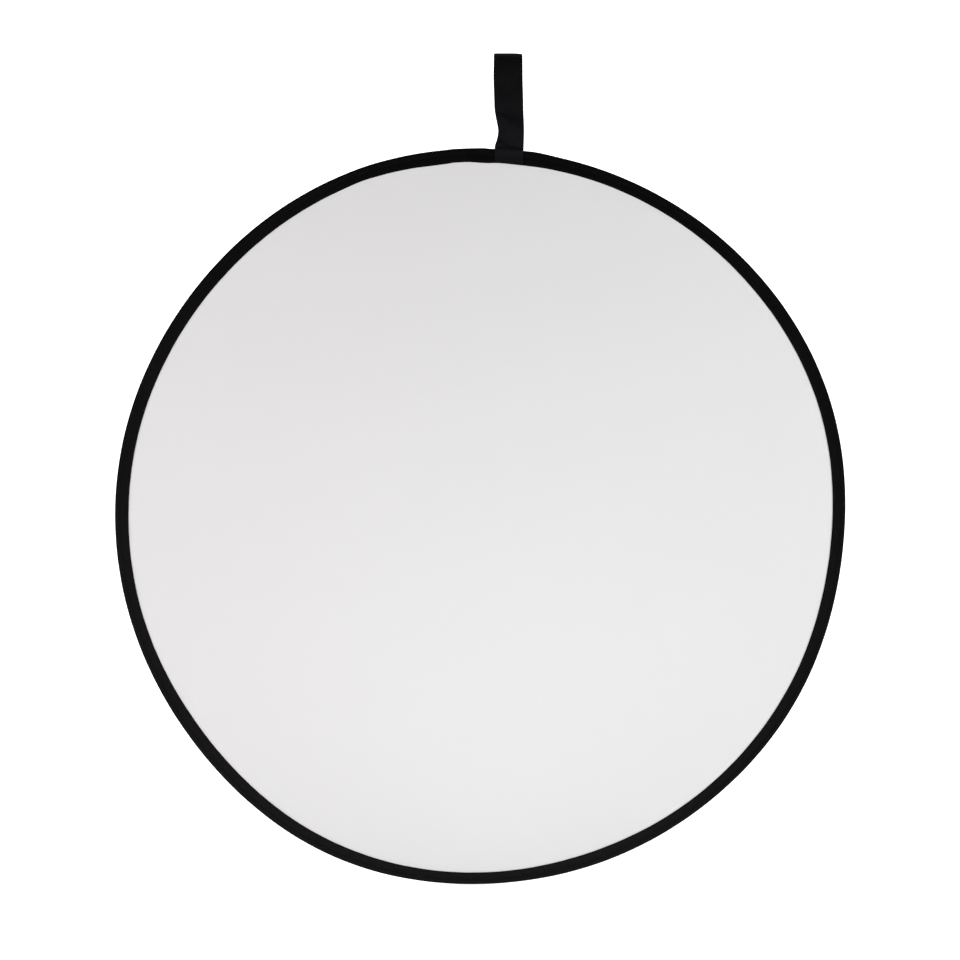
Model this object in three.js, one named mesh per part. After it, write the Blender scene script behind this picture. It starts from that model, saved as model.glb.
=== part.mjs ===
// Collapsible reflector disc, 800 mm across, standing upright.
// Millimetres, +Z up. The disc lies in the XZ plane, its front face looks along -Y and the strap is at the top.
// The origin is the lowest point of the rim, so the middle of the disc is at (0, 0, R_OUT).
// phi is the angle round the rim in degrees, 0 at the top and positive towards +X.
// rho is the distance from the disc's axis. The rim is a chain of hinged arcs, so that it can coil into three small loops.
import * as THREE from "three";

const R_OUT = 400; // outer radius of the bound rim
const R_HINGE = 397.6; // radius of the middle of the steel band, where it bends
const ARCS = 23; // number of arcs the rim is cut into; the joint at the bottom is the opened one
const STEP = 360 / ARCS; // angle of one arc, degrees
const COIL_TURN = 2 * STEP; // how far each hinge turns when the rim is coiled into three loops, degrees
const END_GAP = 0.15; // clearance at each arc end, at and outside the hinge radius
const OPEN_GAP = 0.3; // clearance at each side of the opened joint at the bottom
const NOTCH_SPARE = 0.55; // extra opening of the notch below each hinge, degrees

const BAND = { rhoIn: 397.2, rhoOut: 398.0, halfWidth: 2.5 }; // flat spring-steel band
const FERRULE = { rhoIn: 396.5, rhoOut: 398.7, halfWidth: 3.45, wallRho: 0.5, wallY: 0.75, from: -4.15, to: 0.05 };
const BAND_JOIN = -2.05; // where the two ends of the band meet, inside the ferrule

const TAPE = { rhoIn: 386.3, flapOut: 1.45, flapIn: 0.75, tubeOut: 3.5, pocketY: 2.85 }; // folded binding tape
const FABRIC = { radius: 393.5, yIn: 0.15, yOut: 0.45, sides: 138 };

const STRAP = { x: 31, width: 30, thick: 1.2, hingeZ: 806, top: 904, bightHalf: 8.2, flatHalf: 1.6, lean: 0 };
const LEG = { rhoLow: 386.8, top: 800.7, gap: 0.3 };
const TACK = { rho0: 387.7, rho1: 389.9, halfLength: 12.5, thick: 0.4 };

const RAD = Math.PI / 180;
const group = new THREE.Group();
group.name = "collapsible_reflector_disc";

// ---------- helpers ----------
function at(rho, phiRad, y) {
  return [rho * Math.sin(phiRad), y, R_OUT + rho * Math.cos(phiRad)];
}

// A closed body from equal rings of points; the caps are triangulated from the flat profile.
function loft(rings, profile) {
  const n = profile.length;
  const pos = [];
  for (const ring of rings) for (const p of ring) pos.push(p[0], p[1], p[2]);
  const tri = [];
  for (let k = 0; k + 1 < rings.length; k++)
    for (let i = 0; i < n; i++) {
      const j = (i + 1) % n;
      const a = k * n + i,
        b = k * n + j,
        c = (k + 1) * n + j,
        d = (k + 1) * n + i;
      tri.push(a, b, c, a, c, d);
    }
  const shape = profile.map((p) => new THREE.Vector2(p[0], p[1]));
  const area = (list) => THREE.ShapeUtils.area(list);
  const caps = THREE.ShapeUtils.triangulateShape(shape, []);
  const same = area(shape) > 0 === area(caps[0].map((i) => shape[i])) > 0;
  const last = (rings.length - 1) * n;
  for (const [a, b, c] of caps) {
    const [p, q] = same ? [b, c] : [c, b]; // caps wound the same way as the profile
    tri.push(a, q, p);
    tri.push(last + a, last + p, last + q);
  }
  return solid(pos, tri);
}

function solid(pos, tri) {
  let six = 0;
  for (let i = 0; i < tri.length; i += 3) {
    const [a, b, c] = [tri[i] * 3, tri[i + 1] * 3, tri[i + 2] * 3];
    const ax = pos[a], ay = pos[a + 1], az = pos[a + 2] - R_OUT;
    const bx = pos[b], by = pos[b + 1], bz = pos[b + 2] - R_OUT;
    const cx = pos[c], cy = pos[c + 1], cz = pos[c + 2] - R_OUT;
    six += ax * (by * cz - bz * cy) - ay * (bx * cz - bz * cx) + az * (bx * cy - by * cx);
  }
  if (six < 0)
    for (let i = 0; i < tri.length; i += 3) [tri[i + 1], tri[i + 2]] = [tri[i + 2], tri[i + 1]];
  const g = new THREE.BufferGeometry();
  g.setAttribute("position", new THREE.Float32BufferAttribute(pos, 3));
  g.setIndex(tri);
  g.computeVertexNormals();
  return g;
}

function add(name, geometry, look) {
  const m = new THREE.Mesh(geometry, new THREE.MeshStandardMaterial(look));
  m.name = name;
  group.add(m);
}

const LOOK = {
  tape: { color: 0x1b1a1c, roughness: 0.85, metalness: 0 },
  steel: { color: 0x8c9096, roughness: 0.35, metalness: 1 },
  ferrule: { color: 0xb9bcc0, roughness: 0.3, metalness: 1 },
  white: { color: 0xf2f1f0, roughness: 0.75, metalness: 0 },
  silver: { color: 0xc9ccd0, roughness: 0.3, metalness: 0.7 },
  webbing: { color: 0x17171a, roughness: 0.9, metalness: 0 },
  thread: { color: 0x0f0f11, roughness: 0.8, metalness: 0 },
};

// Distance from the hinge's radial plane to an arc's end at a radius: a notch opens towards the middle of the disc.
const NOTCH = Math.tan((COIL_TURN / 2 + NOTCH_SPARE) * RAD);
const endOffset = (rho) => END_GAP + Math.max(0, R_HINGE - rho) * NOTCH;
const openOffset = () => OPEN_GAP;

// An arc of the rim from angle a to b (degrees), with its own clearance at each end.
function arc(a, b, section, rings, offA, offB) {
  const out = [];
  for (let k = 0; k <= rings; k++) {
    const t = k / rings;
    const profile = section(a + (b - a) * t);
    out.push(
      profile.map(([rho, y]) => {
        const p0 = a * RAD + offA(rho) / rho;
        const p1 = b * RAD - offB(rho) / rho;
        return at(rho, p0 + (p1 - p0) * t, y);
      }),
    );
  }
  return loft(out, section((a + b) / 2));
}

// ---------- cross-sections ----------
// Binding tape folded over the band: a tube round the band and two flaps that hold the edge of the fabric between them.
function tapeSection(b) {
  const f = TAPE.flapOut, s = TAPE.flapIn, o = TAPE.tubeOut + 0.9 * b, p = TAPE.pocketY + 0.9 * b;
  const front = [
    [TAPE.rhoIn, -f],
    [392.6, -f],
    [394.0, -2.0 - 0.3 * b],
    [395.2, -3.0 - 0.8 * b],
    [396.4, -o],
    [398.6 + 0.2 * b, -o],
    [399.5 + 0.2 * b, -2.8 - 0.8 * b],
    [R_OUT, -1.4],
  ];
  const back = front.map(([r, y]) => [r, -y]).reverse();
  const inside = [
    [TAPE.rhoIn, s],
    [395.3 - 0.4 * b, s],
    [396.6 - 0.4 * b, p],
    [398.6 + 0.4 * b, p],
    [398.6 + 0.4 * b, -p],
    [396.6 - 0.4 * b, -p],
    [395.3 - 0.4 * b, -s],
    [TAPE.rhoIn, -s],
  ];
  return [...front, ...back, ...inside];
}
const bandSection = () => [
  [BAND.rhoIn, -BAND.halfWidth],
  [BAND.rhoOut, -BAND.halfWidth],
  [BAND.rhoOut, BAND.halfWidth],
  [BAND.rhoIn, BAND.halfWidth],
];
const smooth = (t) => {
  const u = Math.min(1, Math.max(0, t));
  return u * u * (3 - 2 * u);
};
// The tape stands out over the ferrule.
const bulge = (phi) => smooth((phi - (FERRULE.from - 1.6)) / 1.25) * smooth((FERRULE.to + 1.6 - phi) / 1.25);

// ---------- rim ----------
const H = STEP / 2;
add("binding_root", arc(-H, H, (phi) => tapeSection(bulge(phi)), 22, endOffset, endOffset), LOOK.tape);
for (let k = 1; k <= (ARCS - 1) / 2; k++) {
  const a = H + (k - 1) * STEP, b = a + STEP, id = String(k).padStart(2, "0");
  const far = k === (ARCS - 1) / 2 ? openOffset : endOffset;
  add("binding_R" + id, arc(a, b, () => tapeSection(0), 6, endOffset, far), LOOK.tape);
  add("binding_L" + id, arc(-b, -a, () => tapeSection(0), 6, far, endOffset), LOOK.tape);
  add("hoop_R" + id, arc(a, b, bandSection, 6, endOffset, far), LOOK.steel);
  add("hoop_L" + id, arc(-b, -a, bandSection, 6, far, endOffset), LOOK.steel);
}
add("hoop_root_left", arc(-H, BAND_JOIN, bandSection, 4, endOffset, () => END_GAP), LOOK.steel);
add("hoop_root_right", arc(BAND_JOIN, H, bandSection, 6, () => END_GAP, endOffset), LOOK.steel);

// Ferrule: a short sleeve of rectangular tube over the two ends of the band.
{
  const outer = [
    [FERRULE.rhoIn, -FERRULE.halfWidth + 0.4],
    [FERRULE.rhoIn + 0.4, -FERRULE.halfWidth],
    [FERRULE.rhoOut - 0.4, -FERRULE.halfWidth],
    [FERRULE.rhoOut, -FERRULE.halfWidth + 0.4],
    [FERRULE.rhoOut, FERRULE.halfWidth - 0.4],
    [FERRULE.rhoOut - 0.4, FERRULE.halfWidth],
    [FERRULE.rhoIn + 0.4, FERRULE.halfWidth],
    [FERRULE.rhoIn, FERRULE.halfWidth - 0.4],
  ];
  const ri = FERRULE.rhoIn + FERRULE.wallRho, ro = FERRULE.rhoOut - FERRULE.wallRho;
  const hy = FERRULE.halfWidth - FERRULE.wallY;
  const inner = [
    [ri, -hy],
    [(ri + ro) / 2, -hy],
    [ro, -hy],
    [ro, 0],
    [ro, hy],
    [(ri + ro) / 2, hy],
    [ri, hy],
    [ri, 0],
  ];
  const n = 8, steps = 4, pos = [], tri = [];
  for (let k = 0; k <= steps; k++) {
    const phi = (FERRULE.from + ((FERRULE.to - FERRULE.from) * k) / steps) * RAD;
    for (const set of [outer, inner]) for (const [rho, y] of set) pos.push(...at(rho, phi, y));
  }
  const w = 2 * n;
  for (let k = 0; k < steps; k++)
    for (let i = 0; i < n; i++) {
      const j = (i + 1) % n, a = k * w, b = (k + 1) * w;
      tri.push(a + i, a + j, b + j, a + i, b + j, b + i);
      tri.push(a + n + i, b + n + j, a + n + j, a + n + i, b + n + i, b + n + j);
    }
  const e = steps * w;
  const ringCap = (base, flip) => {
    const pts = [...outer, ...inner].map((p) => new THREE.Vector2(p[0], p[1]));
    const faces = THREE.ShapeUtils.triangulateShape(pts.slice(0, n), [pts.slice(n)]);
    for (const [p, q, r] of faces) flip ? tri.push(base + p, base + r, base + q) : tri.push(base + p, base + q, base + r);
  };
  ringCap(0, true);
  ringCap(e, false);
  add("hoop_ferrule", solid(pos, tri), LOOK.ferrule);
}

// ---------- fabric ----------
function disc(y0, y1) {
  const n = FABRIC.sides, pos = [], tri = [];
  for (const y of [y0, y1]) {
    for (let i = 0; i < n; i++) pos.push(...at(FABRIC.radius, ((i + 0.5) * 2 * Math.PI) / n, y));
    pos.push(0, y, R_OUT);
  }
  for (let i = 0; i < n; i++) {
    const j = (i + 1) % n, u = n + 1;
    tri.push(n, i, j, u + n, u + j, u + i);
    tri.push(i, u + i, u + j, i, u + j, j);
  }
  return solid(pos, tri);
}
add("fabric_front_white", disc(-FABRIC.yOut, -FABRIC.yIn), LOOK.white);
add("fabric_rear_silver", disc(FABRIC.yIn, FABRIC.yOut), LOOK.silver);

// ---------- strap ----------
const X0 = STRAP.x - STRAP.width / 2, X1 = STRAP.x + STRAP.width / 2;

// A leg of the strap sewn flat over one face of the binding. side is -1 at the front and +1 at the rear.
function leg(side) {
  const g = LEG.gap, t = STRAP.thick;
  const inner = [
    [LEG.rhoLow, 1.45 + g],
    [392.5, 1.45 + g],
    [393.8, 2.25],
    [395.05, 3.3],
    [396.3, 3.5 + g],
    [null, 3.5 + g],
  ];
  const outer = [
    [null, 3.5 + g + t],
    [396.0, 3.5 + g + t],
    [394.6, 4.5],
    [393.3, 3.35],
    [392.2, 1.45 + g + t],
    [LEG.rhoLow, 1.45 + g + t],
  ];
  const profile = [...inner, ...outer];
  const rings = [];
  for (let k = 0; k <= 8; k++) {
    const x = X0 + ((X1 - X0) * k) / 8;
    rings.push(
      profile.map(([rho, y]) => [x, side * y, rho === null ? LEG.top : R_OUT + Math.sqrt(rho * rho - x * x)]),
    );
  }
  return loft(
    rings,
    profile.map(([rho, y]) => [rho === null ? 401 : rho, side * y]),
  );
}
add("strap_leg_front", leg(-1), LOOK.webbing);
add("strap_leg_rear", leg(1), LOOK.webbing);

// Bar tack: a short thick row of thread across the foot of each leg.
function tack(side) {
  const y0 = 1.45 + LEG.gap + STRAP.thick + LEG.gap, y1 = y0 + TACK.thick;
  const c = 0.15;
  const profile = [
    [TACK.rho0, y0],
    [TACK.rho1, y0],
    [TACK.rho1, y1 - c],
    [TACK.rho1 - c, y1],
    [TACK.rho0 + c, y1],
    [TACK.rho0, y1 - c],
  ];
  const rings = [];
  for (let k = 0; k <= 8; k++) {
    const x = STRAP.x - TACK.halfLength + (TACK.halfLength * 2 * k) / 8;
    rings.push(profile.map(([rho, y]) => [x, side * y, R_OUT + Math.sqrt(rho * rho - x * x)]));
  }
  return loft(
    rings,
    profile.map(([rho, y]) => [rho, side * y]),
  );
}
add("strap_tack_front", tack(-1), LOOK.thread);
add("strap_tack_rear", tack(1), LOOK.thread);

// The loop: one closed band of webbing. Its foot is round about the line it swings on; its top is a soft bight.
{
  const t = STRAP.thick, mid = [];
  const r = 3.8 + t / 2, zh = STRAP.hingeZ;
  // right half of the centre line, from the lowest point up to the top
  for (let k = 0; k <= 6; k++) {
    const a = (k / 6) * 90 * RAD;
    mid.push([r * Math.sin(a), zh - r * Math.cos(a)]);
  }
  const topMid = STRAP.top - t / 2, bight = STRAP.bightHalf;
  const zBight = topMid - bight * 0.95;
  const rise = 9;
  for (let k = 1; k <= rise; k++) {
    const u = k / rise;
    const z = zh + (zBight - zh) * u;
    mid.push([r + (bight - r) * smooth(u * 1.02 - 0.01) * 1.0 + 0.9 * Math.sin(Math.PI * u), z]);
  }
  const turns = 6;
  for (let k = 1; k <= turns; k++) {
    const a = (k / turns) * 90 * RAD;
    mid.push([STRAP.flatHalf + (bight - STRAP.flatHalf) * Math.cos(a), zBight + (topMid - zBight) * Math.sin(a)]);
  }
  const left = mid.map(([y, z]) => [-y, z]).reverse();
  const path = [...mid, ...left.slice(0, -1)]; // the lowest point is shared, the top flat is left open as an edge
  const n = path.length;
  const normalAt = (i) => {
    const [y0, z0] = path[(i - 1 + n) % n], [y1, z1] = path[(i + 1) % n];
    const dy = y1 - y0, dz = z1 - z0, l = Math.hypot(dy, dz);
    return [dz / l, -dy / l];
  };
  const off = (d) =>
    path.map(([y, z], i) => {
      // the ends of the flat top keep it level
      if (Math.abs(z - topMid) < 1e-6) return [y, z + d];
      if (i === 0) return [0, z - d];
      const [ny, nz] = normalAt(i);
      return [y + ny * d, z + nz * d];
    });
  const outer = off(t / 2), inner = off(-t / 2);
  const pos = [], tri = [], xs = [X0, X1];
  for (const x of xs) for (const set of [outer, inner]) for (const [y, z] of set) pos.push(x, y, z);
  const w = 2 * n;
  for (let i = 0; i < n; i++) {
    const j = (i + 1) % n;
    tri.push(i, j, w + j, i, w + j, w + i);
    tri.push(n + i, w + n + j, n + j, n + i, w + n + i, w + n + j);
    tri.push(i, n + j, j, i, n + i, n + j);
    tri.push(w + i, w + j, w + n + j, w + i, w + n + j, w + n + i);
  }
  add("strap_loop", solid(pos, tri), LOOK.webbing);
}

export default group;
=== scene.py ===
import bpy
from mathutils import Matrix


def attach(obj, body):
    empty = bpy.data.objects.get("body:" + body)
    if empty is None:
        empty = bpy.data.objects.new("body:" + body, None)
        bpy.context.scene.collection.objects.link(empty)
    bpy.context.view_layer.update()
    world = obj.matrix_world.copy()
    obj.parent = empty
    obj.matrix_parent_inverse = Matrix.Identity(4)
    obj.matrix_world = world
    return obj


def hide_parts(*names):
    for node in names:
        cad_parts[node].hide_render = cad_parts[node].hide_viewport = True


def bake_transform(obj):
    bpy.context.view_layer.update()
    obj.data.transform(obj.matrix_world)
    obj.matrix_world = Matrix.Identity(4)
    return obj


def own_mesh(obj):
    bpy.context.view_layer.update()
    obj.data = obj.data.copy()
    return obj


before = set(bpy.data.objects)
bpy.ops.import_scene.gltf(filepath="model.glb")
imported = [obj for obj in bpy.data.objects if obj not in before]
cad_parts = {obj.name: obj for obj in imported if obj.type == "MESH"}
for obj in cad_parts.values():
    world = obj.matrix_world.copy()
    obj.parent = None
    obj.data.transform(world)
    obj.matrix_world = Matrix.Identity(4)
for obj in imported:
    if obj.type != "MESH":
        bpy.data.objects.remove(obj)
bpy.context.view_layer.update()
# Collapsible reflector disc: white fabric in a black-bound sprung hoop, webbing strap at the top.
# The CAD rim is 23 hinged arcs. Here every joint gets one piece of binding and hoop that bends across it,
# and every body gets its own gore of each fabric face.
import bpy
import math
import numpy as np
from mathutils import Vector

# ------------------------------------------------------------------ sizes, in millimetres
N = 23
STEP = 2 * math.pi / N
H = STEP / 2
R_OUT, R_HINGE, CZ = 400.0, 397.6, 400.0
STITCHES = 34  # stitches in one arc
PITCH_N = N * STITCHES  # stitches round the whole rim
FAB_R = 393.5
STRAP_X = 31.0
IDS = [s + "%02d" % k for s in "RL" for k in range(1, 12)]


def smooth(t):
    u = np.clip(t, 0.0, 1.0)
    return u * u * (3 - 2 * u)


def gauss(t):
    return np.exp(-(t * t))


def rim_h(phi):
    """How far the rim stands out of round."""
    c, s = np.cos, np.sin
    d = (np.degrees(phi) + 180) % 360 - 180
    local = 0.85 * gauss((d - 8.5) / 2.2) - 0.3 * gauss((d + 4) / 7) + 0.3 * gauss((d + 18.5) / 3)
    return (local + 0.63 + 0.07 * c(phi) + 1.6 * c(2 * phi) + 1.14 * s(2 * phi) - 0.76 * c(3 * phi) - 0.57 * s(3 * phi)
            + 0.06 * c(4 * phi) - 0.03 * s(4 * phi) + 0.52 * c(5 * phi) - 1.12 * s(5 * phi) - 0.12 * c(6 * phi) + 0.26 * s(6 * phi)
            + 0.16 * s(7 * phi) - 0.26 * c(8 * phi) - 0.16 * s(8 * phi) + 0.18 * c(9 * phi))


def tape_width(phi):
    c, s = np.cos, np.sin
    d = (np.degrees(phi) + 180) % 360 - 180
    local = (0.75 * gauss((d + 8) / 3.2) + 1.25 * gauss((d - 0.3) / 1.5) + 0.75 * gauss((d - 7) / 4) + 0.6 * gauss((d - 8.5) / 2.2)
             - 0.5 * gauss((d + 19.5) / 2.5) - 0.2 * gauss((d + 4) / 7))
    return (local + 14.62 + 0.18 * c(9 * phi) - 0.1 * c(10 * phi) + 0.1 * c(11 * phi) + 0.42 * c(phi) - 0.34 * s(phi) - 0.1 * c(2 * phi) + 0.18 * c(3 * phi) - 0.08 * s(3 * phi) - 0.26 * c(4 * phi)
            + 0.17 * c(5 * phi) - 0.15 * s(6 * phi) + 0.11 * c(7 * phi) + 0.14 * s(7 * phi))


def bulge(phi):
    """1 over the ferrule, a little left of the top."""
    d = np.degrees(phi)
    return smooth((d + 5.7) / 1.3) * smooth((1.6 - d) / 1.3)


def ripple(phi, freqs, seed):
    """A smooth periodic wave round the rim, about -1 to 1."""
    out = np.zeros_like(phi)
    for i, k in enumerate(freqs):
        out += math.cos(1.7 * i + seed) ** 2 * 0.6 * np.sin(k * phi + seed * 2.3 + 1.9 * i) + 0.35 * np.cos(k * phi + 0.7 * seed + i)
    return out / max(1.0, 0.62 * len(freqs))


def place(rho, phi, y):
    return np.stack([rho * np.sin(phi), y + 0 * phi, CZ + rho * np.cos(phi)], -1)


# ------------------------------------------------------------------ mesh building
def make(name, verts, polys, mats, mat_index=None, normals=None):
    """verts in mm (n,3); polys a list of integer arrays (m,k) or ragged lists."""
    me = bpy.data.meshes.new(name)
    verts = np.asarray(verts, float) / 1000.0
    flat, starts, n = [], [], 0
    for p in polys:
        p = np.asarray(p)
        if p.ndim == 1:
            p = p[None]
        flat.append(p.ravel())
        starts.append(n + np.arange(len(p)) * p.shape[1])
        n += p.size
    flat, starts = np.concatenate(flat).astype(np.int32), np.concatenate(starts).astype(np.int32)
    me.vertices.add(len(verts))
    me.vertices.foreach_set("co", verts.astype(np.float32).ravel())
    me.loops.add(len(flat))
    me.loops.foreach_set("vertex_index", flat)
    me.polygons.add(len(starts))
    me.polygons.foreach_set("loop_start", starts)
    for m in mats:
        me.materials.append(m)
    if mat_index is not None:
        me.polygons.foreach_set("material_index", np.asarray(mat_index, np.int32))
    me.polygons.foreach_set("use_smooth", np.ones(len(starts), bool))
    me.update(calc_edges=True)
    me.validate()
    if normals is not None:
        nn = np.asarray(normals, float)
        nn /= np.maximum(np.linalg.norm(nn, axis=1, keepdims=True), 1e-12)
        me.normals_split_custom_set_from_vertices(nn.tolist())
    o = bpy.data.objects.new(name, me)
    bpy.context.scene.collection.objects.link(o)
    return o


def loft_faces(rings, pts, base=0, closed=True):
    i = np.arange(rings - 1)[:, None]
    j = np.arange(pts if closed else pts - 1)[None]
    a = base + i * pts + j
    b = base + i * pts + (j + 1) % pts
    return np.stack([a, b, b + pts, a + pts], -1).reshape(-1, 4)


def grid_normals(P, closed_j):
    """Normals of a grid of points (i, j, 3) with one extra ring at both ends of i; returns them without those."""
    di = P[2:] - P[:-2]
    if closed_j:
        dj = np.roll(P, -1, 1) - np.roll(P, 1, 1)
    else:
        dj = np.gradient(P, axis=1)
    return np.cross(di, dj[1:-1])


def tube(paths, radius, sides=6):
    """Round threads: paths (k, m, 3), radius (m,) or scalar. Returns verts, quads, caps."""
    k, m, _ = paths.shape
    r = np.broadcast_to(np.asarray(radius, float), (m,))
    t = np.gradient(paths, axis=1)
    t /= np.linalg.norm(t, axis=2, keepdims=True)
    up = np.zeros_like(t)
    up[..., 1] = 1.0
    a = np.cross(t, up)
    a /= np.maximum(np.linalg.norm(a, axis=2, keepdims=True), 1e-9)
    b = np.cross(a, t)
    ang = np.arange(sides) * 2 * math.pi / sides
    v = (paths[:, :, None] + r[None, :, None, None] * (np.cos(ang)[None, None, :, None] * a[:, :, None] + np.sin(ang)[None, None, :, None] * b[:, :, None]))
    quads, caps = [], []
    one = loft_faces(m, sides)
    ring = np.arange(sides)
    for q in range(k):
        quads.append(one + q * m * sides)
        caps.append(np.stack([ring[::-1] + q * m * sides, ring + q * m * sides + (m - 1) * sides]))
    return v.reshape(-1, 3), np.concatenate(quads), np.concatenate(caps)


# ------------------------------------------------------------------ materials
def new_mat(name):
    m = bpy.data.materials.new(name)
    m.use_nodes = True
    nt = m.node_tree
    b = nt.nodes["Principled BSDF"]
    return m, nt, b


def n_math(nt, op, a, b=None, c=None):
    n = nt.nodes.new("ShaderNodeMath")
    n.operation = op
    for i, x in enumerate((a, b, c)):
        if x is None:
            continue
        if isinstance(x, (int, float)):
            n.inputs[i].default_value = x
        else:
            nt.links.new(x, n.inputs[i])
    return n.outputs[0]


def n_noise(nt, vec, scale, detail=3.0, rough=0.5):
    n = nt.nodes.new("ShaderNodeTexNoise")
    n.inputs["Scale"].default_value = scale
    n.inputs["Detail"].default_value = detail
    n.inputs["Roughness"].default_value = rough
    nt.links.new(vec, n.inputs["Vector"])
    return n.outputs["Fac"]


def n_range(nt, x, lo, hi, a, b):
    n = nt.nodes.new("ShaderNodeMapRange")
    nt.links.new(x, n.inputs["Value"])
    for k, v in zip(("From Min", "From Max", "To Min", "To Max"), (lo, hi, a, b)):
        n.inputs[k].default_value = v
    return n.outputs["Result"]


def n_mixcol(nt, fac, a, b):
    n = nt.nodes.new("ShaderNodeMix")
    n.data_type = "RGBA"
    if isinstance(fac, (int, float)):
        n.inputs["Factor"].default_value = fac
    else:
        nt.links.new(fac, n.inputs["Factor"])
    for s, v in zip((n.inputs[6], n.inputs[7]), (a, b)):
        if isinstance(v, tuple):
            s.default_value = (*v, 1.0)
        else:
            nt.links.new(v, s)
    return n.outputs[2]


def n_bump(nt, bsdf, height, strength, distance):
    n = nt.nodes.new("ShaderNodeBump")
    n.inputs["Strength"].default_value = strength
    n.inputs["Distance"].default_value = distance
    nt.links.new(height, n.inputs["Height"])
    nt.links.new(n.outputs["Normal"], bsdf.inputs["Normal"])
    return n


def obj_coords(nt):
    return nt.nodes.new("ShaderNodeTexCoord").outputs["Object"]


def split(nt, vec):
    n = nt.nodes.new("ShaderNodeSeparateXYZ")
    nt.links.new(vec, n.inputs[0])
    return n.outputs


def join(nt, *xyz):
    n = nt.nodes.new("ShaderNodeCombineXYZ")
    for i, x in enumerate(xyz):
        if isinstance(x, (int, float)):
            n.inputs[i].default_value = x
        else:
            nt.links.new(x, n.inputs[i])
    return n.outputs[0]


def polar(nt):
    """(distance round the rim, distance from the disc's middle, depth) in metres."""
    s = split(nt, obj_coords(nt))
    z = n_math(nt, "SUBTRACT", s[2], CZ / 1000)
    ang = n_math(nt, "ARCTAN2", s[0], z)
    rho = n_math(nt, "SQRT", n_math(nt, "ADD", n_math(nt, "MULTIPLY", s[0], s[0]), n_math(nt, "MULTIPLY", z, z)))
    return n_math(nt, "MULTIPLY", ang, 0.398), rho, s[1]


def mat_tape():
    m, nt, b = new_mat("black_binding_tape")
    s, rho, y = polar(nt)
    # fine plain weave of the tape: ribs across it, every second one offset
    a = n_math(nt, "SINE", n_math(nt, "MULTIPLY", s, 2 * math.pi / 0.00085))
    c = n_math(nt, "SINE", n_math(nt, "MULTIPLY", rho, 2 * math.pi / 0.0011))
    weave = n_math(nt, "MULTIPLY", a, c)
    grain = n_noise(nt, join(nt, n_math(nt, "MULTIPLY", s, 2.0), rho, y), 260.0, 3.0)
    height = n_math(nt, "ADD", n_math(nt, "MULTIPLY", weave, 0.35), n_math(nt, "MULTIPLY", grain, 0.9))
    n_bump(nt, b, height, 0.35, 0.00025)
    # painted light and shade: the tape's colour is darker towards the top and lighter towards the bottom and the left,
    # where the light falls, with noise breaking up the gradient
    painted_light_noise = n_noise(nt, obj_coords(nt), 9.0, 4.0)
    o3 = split(nt, obj_coords(nt))
    lower = n_math(nt, "MULTIPLY_ADD", o3[0], -0.3, n_math(nt, "MULTIPLY_ADD", o3[2], -1.2, 0.98))
    lower = n_math(nt, "ADD", lower, n_range(nt, painted_light_noise, 0.3, 0.7, -0.1, 0.1))
    col = n_mixcol(nt, n_range(nt, lower, 0.0, 1.0, 0.0, 1.0), (0.0013, 0.00125, 0.0014), (0.0074, 0.0073, 0.0076))
    nt.links.new(col, b.inputs["Base Color"])
    nt.links.new(n_range(nt, grain, 0.3, 0.7, 0.74, 0.9), b.inputs["Roughness"])
    b.inputs["Specular IOR Level"].default_value = 0.05
    return m


def mat_thread():
    m, nt, b = new_mat("black_thread")
    g = n_noise(nt, obj_coords(nt), 2400.0, 2.0)
    nt.links.new(n_mixcol(nt, g, (0.0025, 0.0025, 0.0027), (0.0055, 0.0055, 0.0058)), b.inputs["Base Color"])
    n_bump(nt, b, g, 0.3, 0.0001)
    b.inputs["Roughness"].default_value = 0.6
    b.inputs["Specular IOR Level"].default_value = 0.1
    return m


def mat_white():
    m, nt, b = new_mat("white_fabric")
    oc = obj_coords(nt)
    s = split(nt, oc)
    slub = n_noise(nt, join(nt, n_math(nt, "MULTIPLY", s[0], 0.25), s[1], n_math(nt, "MULTIPLY", s[2], 3.0)), 420.0, 2.0)
    cloud = n_noise(nt, oc, 5.0, 3.0)
    tone = n_range(nt, cloud, 0.25, 0.75, 0.996, 1.004)
    col = nt.nodes.new("ShaderNodeVectorMath")
    col.operation = "SCALE"
    col.inputs[0].default_value = (0.742, 0.732, 0.736)
    nt.links.new(tone, col.inputs["Scale"])
    nt.links.new(col.outputs[0], b.inputs["Base Color"])
    nt.links.new(n_range(nt, slub, 0.3, 0.7, 0.78, 0.88), b.inputs["Roughness"])
    b.inputs["Specular IOR Level"].default_value = 0.25
    b.inputs["Sheen Weight"].default_value = 0.05
    return m


def mat_silver():
    m, nt, b = new_mat("silver_fabric")
    oc = obj_coords(nt)
    wrinkle = n_noise(nt, oc, 85.0, 5.0, 0.6)
    cloud = n_noise(nt, oc, 14.0, 3.0)
    nt.links.new(n_mixcol(nt, cloud, (0.66, 0.67, 0.685), (0.76, 0.77, 0.78)), b.inputs["Base Color"])
    b.inputs["Metallic"].default_value = 0.85
    nt.links.new(n_range(nt, wrinkle, 0.3, 0.7, 0.24, 0.36), b.inputs["Roughness"])
    return m


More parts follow.
